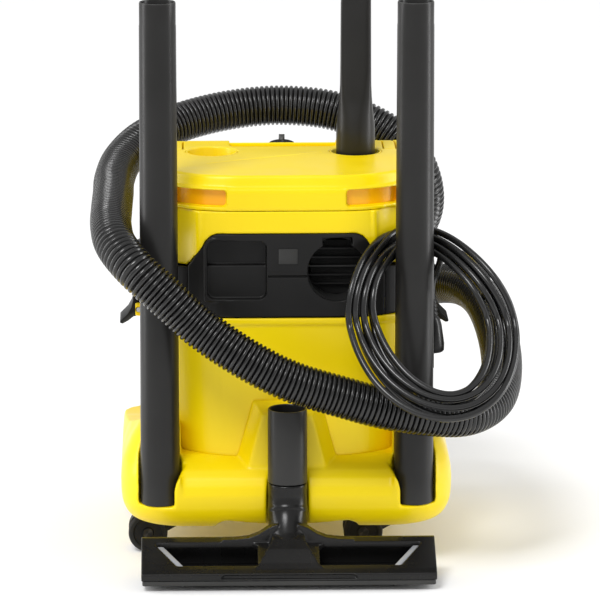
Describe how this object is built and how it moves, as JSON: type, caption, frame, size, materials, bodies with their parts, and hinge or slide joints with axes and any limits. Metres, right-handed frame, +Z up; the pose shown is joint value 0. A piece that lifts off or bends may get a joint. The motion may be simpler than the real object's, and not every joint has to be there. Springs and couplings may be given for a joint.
{
  "type": "shop vacuum",
  "caption": "Wet and dry drum shop vacuum on swivel casters with lift-off motor head, clip latches, ribbed hose, hung mains cable and parked suction tubes, floor and crevice nozzles.",
  "frame": {"origin": "on the floor, under the middle of the footprint (cords left out)", "axes": "+Z up, -Y towards the side that carries the parked suction tubes and the floor nozzle, +X to the right seen from that side"},
  "size_m": [0.4391, 0.482, 0.576],
  "materials": {
    "yellow_plastic": "smooth injection-moulded polypropylene with a soft gloss",
    "black_plastic": "fine-grained black polypropylene",
    "tube_plastic": "satin extruded plastic tube",
    "hose_plastic": "glossy corrugated hose",
    "cable_sheath": "smooth rubbery mains cable sheath",
    "wheel_rubber": "hard black wheel",
    "seal_rubber": "soft black seal",
    "grey_plastic": "grey moulded plastic",
    "brush_bristle": "dense black bristles",
    "filter_paper": "pleated filter paper",
    "foam": "open-cell foam",
    "steel": "zinc-plated steel",
    "impeller_alloy": "pressed aluminium",
    "white_plastic": "white moulded plastic"
  },
  "bodies": {
    "container": {"container": "yellow_plastic", "container_seal": "seal_rubber", "chassis": "yellow_plastic", "inlet_socket": "black_plastic", "hose_connector": "black_plastic", "hose": "hose_plastic", "hose_handle": "black_plastic", "latch_pin_left": "steel", "latch_pin_right": "steel"},
    "head": {"head_shell": "yellow_plastic", "head_hood": "yellow_plastic", "head_base": "black_plastic", "rear_panel": "black_plastic", "nameplate_blank": "grey_plastic", "blower_port": "black_plastic", "exhaust_foam": "foam", "accessory_cup_left": "yellow_plastic", "accessory_cup_right": "yellow_plastic", "head_screw_1": "steel", "head_screw_2": "steel", "head_screw_3": "steel", "head_screw_4": "steel", "handle_pin_left": "steel", "handle_pin_right": "steel", "motor_seal": "seal_rubber", "fan_housing": "grey_plastic", "motor_stator": "grey_plastic", "float_cage": "black_plastic", "cartridge_filter": "filter_paper", "filter_lock": "black_plastic", "cable_hook": "black_plastic", "cable_gland": "seal_rubber", "cable_lead": "cable_sheath", "cable_coil": "cable_sheath", "cable_tail": "cable_sheath", "plug": "black_plastic"},
    "latch_left": {"latch_left": "black_plastic"},
    "latch_right": {"latch_right": "black_plastic"},
    "carry_handle": {"carry_handle": "yellow_plastic"},
    "switch_knob": {"switch_knob": "black_plastic"},
    "motor_rotor": {"motor_rotor": "steel", "impeller": "impeller_alloy"},
    "float": {"float": "white_plastic"},
    "crevice_nozzle": {"crevice_nozzle": "tube_plastic"},
    "tube_left": {"tube_left": "tube_plastic"},
    "tube_right": {"tube_right": "tube_plastic"},
    "floor_nozzle": {"nozzle_neck": "tube_plastic", "nozzle_housing": "black_plastic", "nozzle_sole": "grey_plastic", "nozzle_brush": "brush_bristle"},
    "caster_near_left": {"caster_housing_near_left": "black_plastic"},
    "wheels_near_left": {"caster_wheels_near_left": "wheel_rubber"},
    "caster_near_right": {"caster_housing_near_right": "black_plastic"},
    "wheels_near_right": {"caster_wheels_near_right": "wheel_rubber"},
    "caster_far_left": {"caster_housing_far_left": "black_plastic"},
    "wheels_far_left": {"caster_wheels_far_left": "wheel_rubber"},
    "caster_far_right": {"caster_housing_far_right": "black_plastic"},
    "wheels_far_right": {"caster_wheels_far_right": "wheel_rubber"}
  },
  "joints": [
    {"name": "head_lift", "type": "slide", "parent": "container", "child": "head", "axis": [0, 0, 1], "range_m": [0, 0.3]},
    {"name": "latch_left_swing", "type": "hinge", "parent": "container", "child": "latch_left", "pos_m": [-0.1495, 0.023, 0.24], "axis": [0, -1, 0], "range_deg": [0, 45]},
    {"name": "latch_right_swing", "type": "hinge", "parent": "container", "child": "latch_right", "pos_m": [0.1495, 0.023, 0.24], "axis": [0, 1, 0], "range_deg": [0, 45]},
    {"name": "carry_handle_swing", "type": "hinge", "parent": "head", "child": "carry_handle", "pos_m": [0, 0.053, 0.3925], "axis": [1, 0, 0], "range_deg": [0, 80]},
    {"name": "switch_turn", "type": "hinge", "parent": "head", "child": "switch_knob", "pos_m": [0, 0.131, 0.3759], "axis": [0, 0.5277, 0.8494], "range_deg": [0, 90]},
    {"name": "motor_spin", "type": "hinge", "parent": "head", "child": "motor_rotor", "pos_m": [0, 0.023, 0.304], "axis": [0, 0, 1], "continuous": true},
    {"name": "float_rise", "type": "slide", "parent": "head", "child": "float", "axis": [0, 0, 1], "range_m": [0, 0.018]},
    {"name": "crevice_nozzle_pull", "type": "slide", "parent": "head", "child": "crevice_nozzle", "axis": [0, 0, 1], "range_m": [0, 0.25]},
    {"name": "tube_left_pull", "type": "slide", "parent": "container", "child": "tube_left", "axis": [0, 0, 1], "range_m": [0, 0.5]},
    {"name": "tube_right_pull", "type": "slide", "parent": "container", "child": "tube_right", "axis": [0, 0, 1], "range_m": [0, 0.5]},
    {"name": "floor_nozzle_lift", "type": "slide", "parent": "container", "child": "floor_nozzle", "axis": [0, 0, 1], "range_m": [0, 0.08]},
    {"name": "caster_near_left_swivel", "type": "hinge", "parent": "container", "child": "caster_near_left", "pos_m": [-0.11, -0.053, 0.04], "axis": [0, 0, 1], "continuous": true},
    {"name": "wheels_near_left_spin", "type": "hinge", "parent": "caster_near_left", "child": "wheels_near_left", "pos_m": [-0.141, -0.053, 0.02], "axis": [0, 1, 0], "continuous": true},
    {"name": "caster_near_right_swivel", "type": "hinge", "parent": "container", "child": "caster_near_right", "pos_m": [0.11, -0.053, 0.04], "axis": [0, 0, 1], "continuous": true},
    {"name": "wheels_near_right_spin", "type": "hinge", "parent": "caster_near_right", "child": "wheels_near_right", "pos_m": [0.079, -0.053, 0.02], "axis": [0, 1, 0], "continuous": true},
    {"name": "caster_far_left_swivel", "type": "hinge", "parent": "container", "child": "caster_far_left", "pos_m": [-0.11, 0.099, 0.04], "axis": [0, 0, 1], "continuous": true},
    {"name": "wheels_far_left_spin", "type": "hinge", "parent": "caster_far_left", "child": "wheels_far_left", "pos_m": [-0.141, 0.099, 0.02], "axis": [0, 1, 0], "continuous": true},
    {"name": "caster_far_right_swivel", "type": "hinge", "parent": "container", "child": "caster_far_right", "pos_m": [0.11, 0.099, 0.04], "axis": [0, 0, 1], "continuous": true},
    {"name": "wheels_far_right_spin", "type": "hinge", "parent": "caster_far_right", "child": "wheels_far_right", "pos_m": [0.079, 0.099, 0.02], "axis": [0, 1, 0], "continuous": true}
  ]
}
